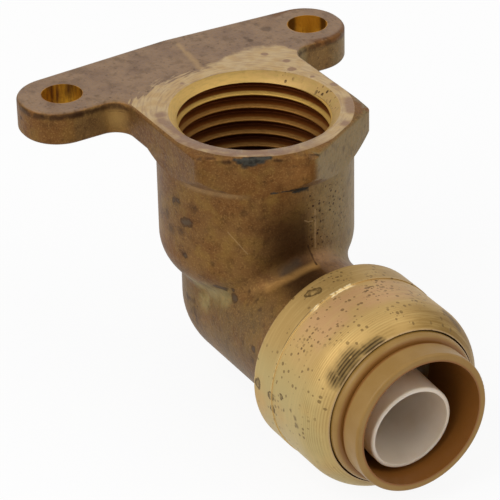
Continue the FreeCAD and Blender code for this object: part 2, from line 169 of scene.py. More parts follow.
def marks(tree, where, places, soft=0.5, most=1.0):
    # most on each mark, 0 at its edge; a mark is a ball (place, radius) or a line (start, end, half width)
    total = 0.0
    for start, *end, size in places:
        near = start
        if end:
            # the foot of the perpendicular on the line, held between its two ends
            run = np.subtract(end[0], start)
            off = addNode(tree, "ShaderNodeVectorMath", {0: where, 1: start}, operation="SUBTRACT").outputs[0]
            share = addNode(tree, "ShaderNodeVectorMath", {0: off, 1: tuple(run / (run @ run))},
                            operation="DOT_PRODUCT").outputs["Value"]
            share = addNode(tree, "ShaderNodeClamp", {"Value": share}).outputs[0]
            near = addNode(tree, "ShaderNodeVectorMath", {0: tuple(run), 1: share, 2: start},
                           operation="MULTIPLY_ADD").outputs[0]
        gap = addNode(tree, "ShaderNodeVectorMath", {0: where, 1: near}, operation="DISTANCE")
        mark = zone(tree, (gap.outputs["Value"], size, size * soft), most=most)
        total = addNode(tree, "ShaderNodeMath", {0: mark, 1: total}, operation="MAXIMUM").outputs[0]
    return total


def unrolled(tree, along, angle, radiusMm):
    # a wall of revolution laid flat in mm: its length, and its angle times its radius
    arc = addNode(tree, "ShaderNodeMath", {0: angle, 1: radiusMm}, operation="MULTIPLY").outputs[0]
    return addNode(tree, "ShaderNodeCombineXYZ", {0: along, 1: arc}).outputs[0]


def flecks(tree, flat, spacingMm, share, reach):
    # pits: a dot of random size in a share of the cells of a flat pattern; reach is in cell widths
    cell = addNode(tree, "ShaderNodeTexVoronoi", {"Vector": flat, "Scale": 1 / spacingMm},
                   voronoi_dimensions="2D")
    luck = addNode(tree, "ShaderNodeSeparateColor", {"Color": cell.outputs["Color"]}).outputs[0]
    size = addNode(tree, "ShaderNodeMapRange", {"Value": luck, "From Min": 1 - share, "From Max": 1.0,
                   "To Max": reach}).outputs[0]
    inside = addNode(tree, "ShaderNodeMath", {0: size, 1: cell.outputs["Distance"]},
                     operation="SUBTRACT").outputs[0]
    return zone(tree, (inside, 0.0, 0.3 * reach))


def layered(tree, base, layers):
    # colours laid over one another, each where its mask is 1
    colour = linear(base)
    for mask, code in layers:
        # sockets 6 and 7 are the colours
        colour = addNode(tree, "ShaderNodeMix", {0: mask, 6: colour, 7: linear(code)},
                         data_type="RGBA").outputs[2]
    return colour


def coat(finish, tree, inputs, height, depthMm):
    # the shader, with a bump of depthMm where height is 1
    bump = addNode(tree, "ShaderNodeBump", {"Height": height, "Distance": depthMm / 1000, "Strength": 1.0})
    shader = addNode(tree, "ShaderNodeBsdfPrincipled", dict(inputs, Normal=bump.outputs[0]))
    addNode(tree, "ShaderNodeOutputMaterial", {"Surface": shader.outputs[0]})
    return finish


def onBarrel(angleDeg, height, radius=barrelRadius):
    # a place in mm on a wall about the port's axis, angles from +X towards +Y
    a = math.radians(angleDeg)
    return radius * math.cos(a), radius * math.sin(a), height


def onSocket(angleDeg, along, radius=capRadius):
    # a place in mm on a wall about the socket's axis, angles from +Y up towards +Z
    a = math.radians(angleDeg)
    return along, radius * math.cos(a), radius * math.sin(a) + socketZ


# Body: the forging with its port thread

thread = {
    "crest": 9.285,  # mm, just outside the port's plain wall, so that all of the wall is cut afresh
    "mouth": 10.505,  # the chamfer at the port's face; it narrows as fast as it goes down
    "root": 10.42,
    "pitch": 1.814,
    "crestShare": 0.08,  # of the pitch
    "rootShare": 0.20,
    "top": 0.6,
    "start": -1.0,  # the chamfer stays whole above this height
    "runIn": 0.25,
    "foot": -14.8,
    "tuck": 0.15,  # the plug narrows at its foot, so that it leaves the wall at a clear angle
    "fadeFrom": -12.6,
    "turns": 216,  # steps round the axis
    "rows": 26,  # steps to a pitch
    "startRows": 14,  # closer steps where the thread begins
    "plainFoot": 0.4,  # mm over the foot without a groove
    "weld": 2e-6,  # metres, points of the CAD skin closer than this become one
    "cutWeld": 4e-6,  # the same after the cut
    "sharpDeg": 28,
}


def threadPlug():
    # closed plug r(angle, z): the crest radius plus a V groove that climbs one pitch a turn, beginning under
    # the chamfer and fading out towards the foot; the chamfer's cone where that is wider
    t = thread
    below = t["start"] - t["runIn"]
    fadeEnd = t["foot"] + t["plainFoot"]
    rows = int((below - t["foot"]) / t["pitch"] * t["rows"])
    z = np.concatenate([[t["top"]], np.linspace(t["start"], below, t["startRows"], endpoint=False),
                        np.linspace(below, t["foot"], rows)])[:, None]
    count = len(z)
    angle = np.linspace(0, 2 * np.pi, t["turns"], endpoint=False)[None, :]
    phase = np.mod(z / t["pitch"] - angle / (2 * np.pi), 1.0)
    fromGroove = np.abs(phase - 0.5) * 2
    flank = 1 - t["crestShare"] - t["rootShare"]
    depth = np.clip((1 - t["crestShare"] - fromGroove) / flank, 0, 1)
    depth = depth * np.clip((z - fadeEnd) / (t["fadeFrom"] - fadeEnd), 0, 1)
    depth = depth * np.clip((t["start"] - z) / t["runIn"], 0, 1)
    radius = np.maximum(t["crest"] + (t["root"] - t["crest"]) * depth, t["mouth"] + z)
    radius[-1] -= t["tuck"]
    grid = np.stack([radius * np.cos(angle), radius * np.sin(angle), z + 0 * angle], -1) / 1000
    ends = np.array([[0, 0, t["top"]], [0, 0, t["foot"]]]) / 1000
    points = np.vstack([grid.reshape(-1, 3), ends])
    row, col = np.meshgrid(np.arange(count - 1), np.arange(t["turns"]), indexing="ij")
    nextCol = (col + 1) % t["turns"]
    wall = np.stack([row * t["turns"] + col, (row + 1) * t["turns"] + col,
                     (row + 1) * t["turns"] + nextCol, row * t["turns"] + nextCol], -1).reshape(-1, 4)
    ring = np.arange(t["turns"])
    after = (ring + 1) % t["turns"]
    last = (count - 1) * t["turns"]
    lid = np.stack([np.full_like(ring, len(points) - 2), ring, after], -1)
    base = np.stack([np.full_like(ring, len(points) - 1), last + after, last + ring], -1)
    mesh = bpy.data.meshes.new("threadPlug")
    mesh.from_pydata(points.tolist(), [], wall.tolist() + lid.tolist() + base.tolist())
    plug = bpy.data.objects.new("threadPlug", mesh)
    scene.collection.objects.link(plug)
    return plug


def joinSkin(mesh, reach):
    # points closer than reach become one, and what has no area goes
    skin = bmesh.new()
    skin.from_mesh(mesh)
    bmesh.ops.remove_doubles(skin, verts=skin.verts, dist=reach)
    bmesh.ops.triangulate(skin, faces=skin.faces)
    bmesh.ops.dissolve_degenerate(skin, edges=skin.edges, dist=reach)
    bmesh.ops.triangulate(skin, faces=skin.faces)
    skin.to_mesh(mesh)
    skin.free()


def mergedCopy(node, name):
    # a node's loose triangles joined into one skin
    mesh = nodes[node].data.copy()
    mesh.name = name
    joinSkin(mesh, thread["weld"])
    mesh.materials.clear()
    piece = bpy.data.objects.new(name, mesh)
    scene.collection.objects.link(piece)
    return piece


def threadedForging():
    piece = mergedCopy("body", "elbowForging")
    plug = threadPlug()
    cut = piece.modifiers.new("thread", "BOOLEAN")
    cut.operation = "DIFFERENCE"
    cut.object = plug
    # the first solver gives the same mesh on every run, the second also takes a skin that isn't closed
    for solver in ("MANIFOLD", "EXACT"):
        cut.solver = solver
        bpy.context.view_layer.update()
        threaded = piece.evaluated_get(bpy.context.evaluated_depsgraph_get())
        cutMesh = bpy.data.meshes.new_from_object(threaded)
        if len(cutMesh.polygons) > len(piece.data.polygons):
            break
    piece.modifiers.clear()
    piece.data = cutMesh
    bpy.data.objects.remove(plug)
    joinSkin(cutMesh, thread["cutWeld"])
    cutMesh.polygons.foreach_set("use_smooth", np.ones(len(cutMesh.polygons), bool))
    cutMesh.set_sharp_from_angle(angle=math.radians(thread["sharpDeg"]))
    even = piece.modifiers.new("evenNormals", "WEIGHTED_NORMAL")
    even.keep_sharp = True
    return piece


forging = {
    "brown": "#78562e",
    "rust": "#69421d",
    "gold": "#83632f",
    "topFilmAndLight": "#8c725a",  # grey-brown film on the plate's top, with painted light on its up-facing faces
    "bloomDark": "#7b6351",
    "coolSideLight": "#7b6a47",  # painted cool light on faces turned to +X and +Y, and low on the bend
    # painted highlight below the crease, on the bend
    "litPale": "#928253",
    "pink": "#8a6a4f",
    "grain": "#9c7541",
    "shade": "#38220f",
    "drop": "#554534",
    "soot": "#2a2721",
    "ash": "#47443c",
    "light": "#94733f",
    "copper": "#8a5d30",
    "bendLow": "#66502f",
    "line": "#ab8c62",
    "faced": "#bba178",
    "facedGold": "#b08f5e",
    "facedDull": "#8a6c56",
    "chamfer": "#bd9956",
    "chamferDull": "#a48b4d",
    "chamferShade": "#ab8a55",  # painted shade towards +Y
    # thread colours: brass on the crests, painted shade deeper in the port, on the flanks and in the grooves
    "crest": "#b8924a",
    "crestShaded": "#8a602c",
    "flank": "#6a370d",
    "grooveShade": "#582806",
    "drilled": "#c08a26",
    "bored": "#8a6a38",
    "grainMm": 0.22,
    "coarseMm": 0.6,  # lumps of the forged skin
    "reliefMm": 0.03,
    "metal": (0.55, 0.85),  # oxide skin, cut brass
    "roughness": (0.50, 0.45),
    "specular": 0.15,
    "cornerM": 0.003,  # how far the darkening reaches out of a corner
    "sweepRadius": 1.5,  # small, so that the cutter's marks are long
    "mouthEdge": (10.62, 10.56),  # mm, where each cut place ends and where it is whole
    "chamferCone": (10.62, 10.57),
    "chamferEnd": (-1.26, -1.22),
    "flankFrom": (9.60, 9.85),
    "grooveFrom": (9.95, 10.3),
    "portEnd": (-15.5, -15.2),
    "boreFrom": (-15.2, -15.5),
    "boreEnd": (-26.0, -25.7),
    "bore": (9.3, 9.2),
    "socketBore": (8.95, 8.9),
    "holeEdge": (2.62, 2.58),
    "drops": [  # dried water drops
        (onBarrel(-85.5, -8.5), 0.55), (onBarrel(-81.5, -8.3), 0.55),
        (onBarrel(-77, -10.95), onBarrel(-73, -10.45), 0.85), (onBarrel(-77, -15.5), 0.55),
        ((8.3, -8.2, -19.9), 0.85), ((8.0, -8.2, -18.9), 0.45), ((6.2, -9.4, -18.8), (7.0, -8.9, -19.2), 0.5),
        ((14.5, -9.4, -23.5), 0.6), ((-1.5, -9.4, -24.0), 0.5), ((-16.8, -23.3, -2.0), 0.45),
    ],
    "faded": [  # drops that are nearly gone
        (onBarrel(-68, -8.3), 0.75), (onBarrel(-94, -11.2), 0.8), (onBarrel(-89, -13.0), 1.3),
        (onBarrel(-83.5, -8.4), 1.2), (onBarrel(-78, -15.4), 1.0), (onBarrel(-57, -15.4), 0.65),
        ((14.4, -9.5, -25.1), 0.8), ((-17.2, 9.1, 0.0), 0.6), (onBarrel(-80, -12.4), 0.9),
        ((10.6, 6.1, -2.4), 0.6), ((10.9, -7.9, -19.7), 0.5), (onBarrel(-38, -7.6), 0.8),
        ((12.2, -9.4, -23.9), 0.45),
        ((-1.2, -9.4, -24.4), (0.4, -9.5, -24.0), 0.5), ((0.4, -9.5, -25.0), (0.9, -9.3, -27.0), 0.55),
        ((11.8, -7.1, -18.7), 0.45), ((13.2, -7.6, -19.3), 0.6), ((10.0, -7.2, -18.4), 0.4),
    ],
    "plateDrops": [((-18.0, 12.6, 0.0), 0.95), ((-16.3, 9.2, 0.0), 0.6)],
    "blotches": [  # soot on the boss's upper edge and under the boss
        ((9.5, -8.2, -0.3), (11.3, -4.7, -0.25), 0.5), ((9.7, -7.8, -0.6), (10.9, -5.5, -0.45), 0.7),
        ((10.0, -7.2, -0.9), (10.4, -6.4, -0.9), 0.75), ((12.5, -2.2, -5.0), (12.4, -0.4, -5.2), 0.6),
        ((11.8, -4.6, -4.95), (12.5, -2.2, -5.0), 0.3),
        (onBarrel(-8, -5.3, 12.2), onBarrel(-1.5, -5.4, 12.2), 0.5),
    ],
    # painted shade: a blackish patch over the ridge, in the soot colour
    "shadeOverRidge": [((12.4, -1.7, -15.0), (12.4, -3.7, -15.65), 1.0)],
    # painted shadow under the upper edges of the boss and of the ear towards -Y
    "shadowUnderRim": [
        ((6.7, -11.5, -0.6), (8.9, -8.9, -0.6), 0.5), ((11.6, -4.2, -0.5), (13.4, 0.6, -0.6), 0.4),
        ((-13.2, -22.0, -0.5), (-11.9, -20.4, -0.5), 0.6), ((-11.9, -20.4, -0.5), (-11.25, -17.9, -0.5), 0.6),
    ],
    # painted highlight along the blend between the barrel and the arm
    "ridgeHighlight": [
        ((12.2, -5.8, -17.4), (12.95, -4.5, -16.65), 0.9),
        ((12.95, -4.5, -16.65), (13.55, -3.0, -16.0), 0.95),
        ((13.55, -3.0, -16.0), (13.6, 0.1, -15.45), 0.95),
    ],
    "flash": [  # where the two forging dies met
        (onBarrel(5, -8.6), onBarrel(5, -10.4), 0.12), (onBarrel(5, -10.4), onBarrel(5, -13.8), 0.17),
        ((12.1, -0.4, -9.67), (12.1, 0.1, -10.0), 0.12), ((12.1, 0.1, -10.0), (12.1, 0.66, -10.05), 0.12),
    ],
    "plateFlash": [((-20.4, 1.0, 0.0), (-17.0, 0.6, 0.0), 0.5), ((-17.6, 0.7, 0.0), (-13.0, 0.0, 0.0), 0.75)],
    "scratches": [(onBarrel(-47, -10.5, 12.1), onBarrel(-41, -12.0, 12.1), 0.11),
                  (onBarrel(-41, -12.0, 12.1), onBarrel(-36, -13.3, 12.1), 0.11)],
    "crease": [((12.12, 0.0, -13.3), (12.4, 0.34, -14.52), 0.18),
               ((12.4, 0.34, -14.52), (13.4, 0.38, -15.4), 0.2)],
    # painted highlights on the bend below the crease
    "highlightSpots": [((2.2, -9.9, -20.2), 2.3), ((4.7, -9.3, -20.3), 2.5), ((6.6, -8.8, -20.3), 2.1),
                  ((2.7, -9.2, -22.7), 1.8)],
    "holeDarkReflections": [  # painted dark reflections, upright in the hole towards +Y
        ((earX - 2.38, earY - 0.92, 0.0), (earX - 2.38, earY - 0.92, -6.0), 1.2),
        ((earX - 0.18, earY + 2.54, 0.0), (earX - 0.18, earY + 2.54, -6.0), 0.8),
    ],
    "earLight": [((-10.9, -13.4, -2.1), 2.8)],
    "warm": [((12.4, -1.6, -2.6), 3.2)],
    "facedStains": [
        ((4.4, 11.0, 0.0), (6.8, 9.7, 0.0), 1.3), ((-4.8, -10.4, 0.0), 1.2),
        ((-10.7, -3.9, 0.0), 0.45), ((9.2, 7.2, 0.0), 1.0), ((-3.6, -10.9, 0.0), (4.5, -10.6, 0.0), 0.95),
        ((4.5, -10.6, 0.0), (9.0, -7.0, 0.0), 0.45), ((9.0, -7.0, 0.0), (11.0, -3.0, 0.0), 0.6),
    ],
    "faceDrops": [((-12.0, 8.7, 0.0), 0.6), ((-8.9, 10.0, 0.0), 0.6), ((-6.6, 9.4, 0.0), 0.7),
                  ((-3.45, 10.46, 0.0), 0.4), ((-0.2, 11.7, 0.0), 0.7)],
    "mouthPits": [((0.0, 10.1, -0.4), 2.6), ((3.4, 9.9, -0.4), 2.4), ((-5.9, 8.2, -0.5), 1.5)],
    "faceEdge": [(-12.6, -9.4), (-10.7, -10.3), (-7.9, -11.7), (-5.3, -12.6), (0.2, -12.8), (4.8, -13.6),
                 (9.0, -13.6), (11.2, -12.4), (12.6, -10.8)],  # y and x of the border of the faced area
    "faceHalf": 14.0,  # the border's curve spans this much to each side in y, and near to far in x
    "faceNear": -8.0,
    "faceFar": -16.0,
}


def facedArea(tree, where, sweep, x, y, z):
    # the part of the port's face that the cutter reached; its border is a curve of x over y, roughened and,
    # towards -Y, drawn out along the cutter's path
    half, near, far = forging["faceHalf"], forging["faceNear"], forging["faceFar"]
    edge = addNode(tree, "ShaderNodeFloatCurve")
    bend = edge.mapping.curves[0]
    for i, (yEdge, xEdge) in enumerate(forging["faceEdge"]):
        spot = ((yEdge + half) / (2 * half), (near - xEdge) / (near - far))
        if i < 2:
            bend.points[i].location = spot
        else:
            bend.points.new(*spot)
    edge.mapping.update()
    across = addNode(tree, "ShaderNodeMapRange", {"Value": y, "From Min": -half, "From Max": half}).outputs[0]
    tree.links.new(across, edge.inputs["Value"])
    reach = addNode(tree, "ShaderNodeMapRange", {"Value": edge.outputs[0], "To Min": near, "To Max": far})
    past = addNode(tree, "ShaderNodeMath", {0: x, 1: reach.outputs[0]}, operation="SUBTRACT").outputs[0]
    wander = mottle(tree, where, 2.0, 0.2, 0.8, 1.4)
    past = addNode(tree, "ShaderNodeMath", {0: past, 1: wander}, operation="SUBTRACT").outputs[0]
    brushed = zone(tree, (y, 4.0, -2.0), mottle(tree, sweep, 0.35, 0.3, 0.7), most=1.6)
    past = addNode(tree, "ShaderNodeMath", {0: past, 1: brushed}, operation="SUBTRACT").outputs[0]
    return zone(tree, (z, -0.07, -0.03), (past, -1.6, -0.5))


def forgedBrass():
    # forged brass left to tarnish: a dull brown oxide skin, and bright brass where it was cut
    f = forging
    finish, tree, where = newFinish("tarnishedForgedBrass")
    x, y, z = addNode(tree, "ShaderNodeSeparateXYZ", {0: where}).outputs
    radius = fromAxis(tree, where, (0, 0, 0), (1, 1, 0))
    fromSocket = fromAxis(tree, where, (0, 0, socketZ), (0, 1, 1))
    turn = addNode(tree, "ShaderNodeMath", {0: y, 1: x}, operation="ARCTAN2").outputs[0]
    uneven = ragged(tree, where, 1.2, 0.3)
    torn = ragged(tree, where, 0.9, 0.45)
    spread = ragged(tree, where, 1.5, 0.6)
    barrelSkin = unrolled(tree, z, turn, barrelRadius)
    sweep = unrolled(tree, radius, turn, f["sweepRadius"])
    # oxide skin, with painted light on the plate's top and on the faces turned to +X and +Y
    top = facing(tree, (0, 0, 1))
    # grey-brown film and painted light on the plate's up-facing top
    topFilmAndLight = zone(tree, (top, 0.6, 0.95), (x, -7.5, -10.0))
    film = zone(tree, topFilmAndLight, mottle(tree, where, 3.0, 0.35, 0.65, 0.8, shift=8.0))
    # painted cool light on the faces turned to +X and +Y
    coolSideLight = zone(tree, (facing(tree, (0.45, 0.89, 0)), 0.25, 0.75), most=0.85)
    # painted shade on the sides turned to -Y
    leeShade = zone(tree, (facing(tree, (-0.35, -0.94, 0)), 0.5, 0.95), (y, -13.5, -12.5), (z, -15.0, -12.0),
               most=0.2)
    low = zone(tree, (z, -16.5, -20.0), mottle(tree, where, 5.0, 0.3, 0.6), most=0.75)
    # painted highlights below the crease
    litPale = zone(tree, marks(tree, torn, f["highlightSpots"], 0.2), mottle(tree, where, 2.0, 0.2, 0.45), most=0.85)
    pink = zone(tree, (y, 0.35, 0.6), (y, 8.0, 3.0), (z, -13.5, -15.0), (z, -21.0, -17.0), (x, 11.0, 12.5),
                most=0.7)
    rust = mottle(tree, where, 4.5, 0.42, 0.62, 0.65)
    bossRust = zone(tree, (z, -6.0, -4.6), mottle(tree, where, 2.2, 0.3, 0.6, shift=22.0), most=0.4)
    gold = mottle(tree, where, 2.6, 0.45, 0.65, 0.6, shift=15.0)
    dark = mottle(tree, where, 9.0, 0.52, 0.75, 0.45, shift=31.0)
    grain = mottle(tree, where, f["grainMm"], 0.48, 0.72, 0.42, detail=2.0)
    soil = mottle(tree, where, 0.6, 0.55, 0.75, 0.4, detail=3.0, shift=9.0)
    cloud = mottle(tree, where, 1.4, 0.48, 0.72, 0.35, shift=40.0)
    # painted shade along the plate's upper edges, on its sides just under the top
    edge = zone(tree, (z, -1.3, -0.6), (z, -0.12, -0.3), (top, 0.95, 0.7), (x, -8.0, -9.5),
                mottle(tree, where, 1.3, 0.32, 0.55, shift=3.0), most=0.8)
    fromLeft = fromAxis(tree, where, (earX, -earY, 0), (1, 1, 0))
    fromRight = fromAxis(tree, where, (earX, earY, 0), (1, 1, 0))
    # the ear towards +Y has a brown rolled edge
    rolled = zone(tree, (fromRight, 4.2, 4.7), (y, earY - 3.5, earY - 1.5), (z, -1.0, -0.5),
                  mottle(tree, where, 1.2, 0.3, 0.5, shift=3.0), most=0.8)
    # pits, thickest on the barrel towards +X and +Y
    gather = zone(tree, (turn, -0.06, 0.06), (turn, 0.66, 0.42), (z, -5.4, -6.4), (z, -15.2, -12.5),
                  mottle(tree, where, 2.2, 0.36, 0.50))
    specks = zone(tree, flecks(tree, barrelSkin, 0.5, 0.85, 0.42), gather, most=0.9)
    stray = zone(tree, flecks(tree, barrelSkin, 1.1, 0.35, 0.18), (top, 0.5, 0.2),
                 mottle(tree, where, 7.0, 0.42, 0.6, shift=12.0), most=0.45)
    dots = zone(tree, flecks(tree, where, 1.1, 0.35, 0.17), topFilmAndLight, mottle(tree, where, 5.0, 0.4, 0.55),
                most=0.6)
    # darker in corners, by ambient occlusion
    corner = addNode(tree, "ShaderNodeAmbientOcclusion", {"Distance": f["cornerM"]}, samples=8).outputs["AO"]
    corner = zone(tree, (corner, 0.75, 0.35), most=0.7)
    # painted dark reflection over the socket on the barrel's front, and painted shade on the arm under the
    # ridge
    darkReflection = zone(tree, (turn, -0.72, -0.24), (turn, 0.10, -0.06), (z, -4.8, -11.0), (z, -17.5, -16.0),
                mottle(tree, where, 2.0, 0.05, 0.32), most=0.82)
    shadeUnderRidge = zone(tree, (x, 13.3, 14.8), (y, -7.0, -4.0), (y, 2.0, -0.5), (z, -19.5, -17.5), most=0.15)
    # painted highlight just under the boss's lower edge
    skirtHighlight = zone(tree, (z, -6.1, -5.5), (z, -4.9, -5.3), (turn, -1.5, -1.2), (turn, -0.5, -0.8), most=0.3)
    # cut places
    faced = facedArea(tree, where, sweep, x, y, z)
    swirl = zone(tree, faced, mottle(tree, sweep, 0.3, 0.42, 0.68), most=0.45)
    brass = zone(tree, faced, mottle(tree, where, 1.6, 0.38, 0.65, shift=2.0), most=0.6)
    dull = zone(tree, faced, (x, -7.0, 2.0), (y, 6.0, -2.0), mottle(tree, where, 1.8, 0.25, 0.65, shift=4.0))
    stains = zone(tree, faced, marks(tree, uneven, f["facedStains"], 0.25), most=0.85)
    faceDrops = zone(tree, faced, marks(tree, uneven, f["faceDrops"], 0.6), most=0.85)
    inMouth = zone(tree, (radius, *f["mouthEdge"]))
    # the chamfer keeps radius less height at the mouth's radius, the thread's groove goes past it
    slope = addNode(tree, "ShaderNodeMath", {0: radius, 1: z}, operation="SUBTRACT").outputs[0]
    chamfer = zone(tree, inMouth, (z, -0.02, -0.05), (z, *f["chamferEnd"]), (slope, *f["chamferCone"]))
    rings = zone(tree, chamfer, mottle(tree, sweep, 0.2, 0.42, 0.66), most=0.5)
    pits = zone(tree, flecks(tree, where, 0.55, 0.8, 0.46), marks(tree, where, f["mouthPits"], 0.2),
                mottle(tree, where, 1.2, 0.36, 0.46), chamfer, most=0.9)
    inPort = zone(tree, inMouth, (z, -0.9, -1.0), (z, *f["portEnd"]))
    # painted shade: darker lower in the port, on the thread's flanks and in its grooves
    below = zone(tree, inPort, (z, -2.9, -4.2))
    flank = zone(tree, inPort, (radius, *f["flankFrom"]))
    grooveShade = zone(tree, inPort, (radius, *f["grooveFrom"]))
    deepShade = zone(tree, inPort, (z, -4.0, -11.0), most=0.3)
    bored = zone(tree, (radius, *f["bore"]), (z, *f["boreFrom"]), (z, *f["boreEnd"]))
    reamed = zone(tree, (x, 2.0, 2.5), (fromSocket, *f["socketBore"]))
    left = zone(tree, (fromLeft, *f["holeEdge"]))
    right = zone(tree, (fromRight, *f["holeEdge"]))
    holes = addNode(tree, "ShaderNodeMath", {0: left, 1: right}, operation="MAXIMUM").outputs[0]
    upright = addNode(tree, "ShaderNodeVectorMath", {0: where, 1: (1, 1, 0.15)}, operation="MULTIPLY")
    streaks = zone(tree, left, mottle(tree, upright.outputs[0], 1.1, 0.42, 0.62))
    # painted dark reflections in the hole towards +Y
    holeReflection = zone(tree, right, marks(tree, uneven, f["holeDarkReflections"], 0.3), most=0.75)
    drops = marks(tree, torn, f["drops"], 0.0)
    inDrops = zone(tree, (drops, 0.4, 0.9), mottle(tree, where, 0.45, 0.25, 0.5, shift=11.0), most=0.8)
    blotch = marks(tree, spread, f["blotches"], 0.3)
    colour = layered(tree, f["brown"], [
        (rust, f["rust"]), (gold, f["gold"]), (bossRust, f["rust"]), (coolSideLight, f["coolSideLight"]), (low, f["bendLow"]),
        (litPale, f["litPale"]), (pink, f["pink"]), (topFilmAndLight, f["topFilmAndLight"]), (film, f["bloomDark"]), (dark, f["rust"]),
        (marks(tree, torn, f["warm"], 0.0, 0.6), f["copper"]), (cloud, f["shade"]), (leeShade, f["shade"]),
        (grain, f["grain"]), (soil, f["shade"]), (corner, f["shade"]), (darkReflection, f["shade"]),
        (shadeUnderRidge, f["shade"]), (marks(tree, uneven, f["earLight"], 0.0, 0.9), f["light"]), (edge, f["shade"]),
        (rolled, f["rust"]), (zone(tree, rolled, mottle(tree, where, 0.9, 0.5, 0.62), most=0.6), f["shade"]),
        (skirtHighlight, f["line"]), (marks(tree, uneven, f["shadeOverRidge"], 0.0, 0.5), f["soot"]),
        (marks(tree, where, f["ridgeHighlight"], 0.0, 0.95), f["grain"]),
        (marks(tree, uneven, f["shadowUnderRim"], 0.2, 0.9), f["shade"]),
        (marks(tree, torn, f["faded"], 0.0, 0.6), f["shade"]),
        (zone(tree, (drops, 0.0, 0.4), most=0.7), f["shade"]), (inDrops, f["drop"]),
        (marks(tree, uneven, f["plateDrops"], 0.5, 0.5), f["shade"]),
        (specks, f["shade"]), (stray, f["shade"]), (dots, f["shade"]),
        (blotch, f["soot"]), (zone(tree, blotch, mottle(tree, where, 0.7, 0.4, 0.6), most=0.6), f["ash"]),
        (marks(tree, where, f["flash"], 0.3, 0.45), f["line"]),
        (marks(tree, uneven, f["plateFlash"], 0.0, 0.6), f["line"]),
        (marks(tree, where, f["scratches"], 0.3, 0.35), f["line"]),
        (marks(tree, where, f["crease"], 0.3, 0.9), f["shade"]),
        (faced, f["faced"]), (brass, f["facedGold"]), (swirl, f["facedDull"]), (dull, f["facedDull"]),
        (stains, f["facedDull"]), (faceDrops, f["facedDull"]), (inPort, f["crest"]),
        (below, f["crestShaded"]), (flank, f["flank"]), (grooveShade, f["grooveShade"]), (deepShade, f["shade"]),
        (bored, f["bored"]), (reamed, f["bored"]), (chamfer, f["chamfer"]),
        (zone(tree, chamfer, (y, 2.0, 8.0), most=0.85), f["chamferShade"]), (rings, f["chamferDull"]),
        (pits, f["shade"]), (holes, f["drilled"]), (streaks, f["rust"]), (holeReflection, f["shade"]),
    ])
    bright = addNode(tree, "ShaderNodeMath", {0: faced, 1: holes}, operation="MAXIMUM").outputs[0]
    metal = addNode(tree, "ShaderNodeMapRange", {"Value": bright, "To Min": f["metal"][0],
                    "To Max": f["metal"][1]}).outputs[0]
    gloss = addNode(tree, "ShaderNodeMapRange", {"Value": bright, "To Min": f["roughness"][0],
                    "To Max": f["roughness"][1]}).outputs[0]
    coarse = mottle(tree, where, f["coarseMm"], 0.2, 0.8, detail=3.0)
    return coat(finish, tree, {"Base Color": colour, "Metallic": metal, "Roughness": gloss,
                               "Specular IOR Level": f["specular"]}, coarse, f["reliefMm"])


forgingPiece = threadedForging()
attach(forgingPiece, "fitting")
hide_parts("body")
forgingPiece.data.materials.clear()
forgingPiece.data.materials.append(forgedBrass())
print("forging threaded:", len(forgingPiece.data.polygons), "faces")


# Retaining cap

cap = {
    "gold": "#ba995e",
    "litPale": "#b3a06b",  # painted light on the side turned to -Y
    "pink": "#c0976a",  # on top
    "shade": "#7d5f2b",
    "streak": "#c6a96c",
    # painted highlight along the step
    "step": "#d9bd82",
    "pit": "#564020",
    "scorch": "#3a2a12",
    # the burr, painted as a bright highlight
    "burrHighlight": "#f0dcae",
    "rim": "#a98c66",
    "turnMm": 0.27,  # feed of the turning tool on the nose
    "stepAt": 23.1,  # mm along the socket's axis, the step behind the nose
    "metal": 0.62,
    "roughness": (0.50, 0.42),
    "specular": 0.25,
    "reliefMm": 0.03,
    "drops": [(onSocket(115, 20.7), onSocket(111, 21.1), 0.75), (onSocket(177, 20.2), 0.85),
              (onSocket(178, 23.0), 0.75), (onSocket(173, 25.2), 0.5), (onSocket(186, 23.3), 0.65)],
    "spots": [(onSocket(180, 25.9), 0.35), (onSocket(179, 28.4), 0.5), (onSocket(183, 28.8), 0.55),
              (onSocket(176, 27.4), 0.3), (onSocket(49, 30.1, 11.9), onSocket(39, 31.3, 11.4), 0.85)],
    "clusters": [(onSocket(133, 26.4), 2.4), (onSocket(126, 28.6), 1.9), (onSocket(120, 28.2), 1.7),
                 (onSocket(143, 25.8), 1.5), (onSocket(88, 30.4, 11.7), 1.5), (onSocket(98, 21.0), 2.6),
                 (onSocket(75, 24.0), 3.4), (onSocket(88, 25.4), 2.2), (onSocket(62, 27.0), 2.8),
                 (onSocket(110, 24.2), 1.5), (onSocket(70, 29.5, 11.9), 1.5)],
    "scorches": [(onSocket(143, 32.0, 10.8), onSocket(127, 31.9, 10.9), 1.85),
                 (onSocket(127, 31.9, 10.9), onSocket(107, 32.5, 10.4), 0.9)],
}


